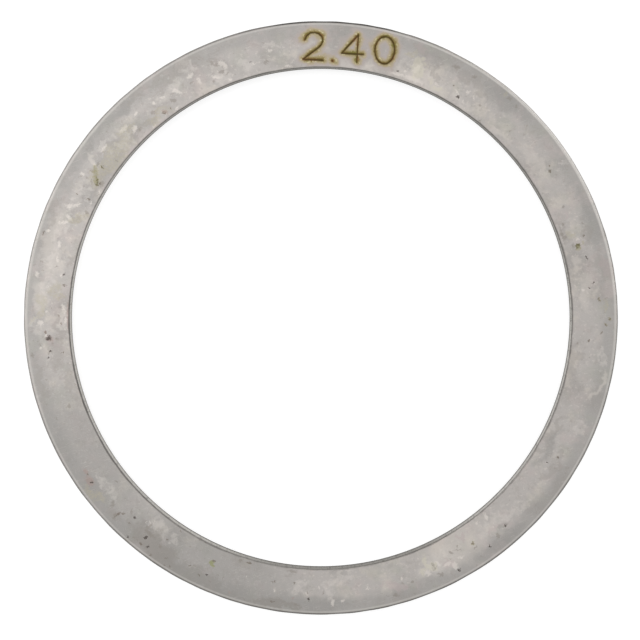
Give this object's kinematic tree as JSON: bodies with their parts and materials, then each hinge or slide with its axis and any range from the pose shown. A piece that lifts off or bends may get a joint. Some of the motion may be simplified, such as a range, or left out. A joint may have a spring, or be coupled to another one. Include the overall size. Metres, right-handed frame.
{
  "type": "bearing shim ring",
  "caption": "Thin flat steel ring with a large bore and broken edges, for setting the gap beside a rolling bearing.",
  "frame": {"origin": "centre of the bore at the lower face", "axes": "+Z along the bore axis, from the lower face to the marked upper face with the roll-over; +Y towards the mark on the upper face; +X to the right of it"},
  "size_m": [0.09, 0.09, 0.0024],
  "materials": {
    "ring_steel": "ground and lightly used, satin, warm grey with stains and small pits"
  },
  "bodies": {
    "root": {"shim_ring": "ring_steel"}
  },
  "joints": []
}
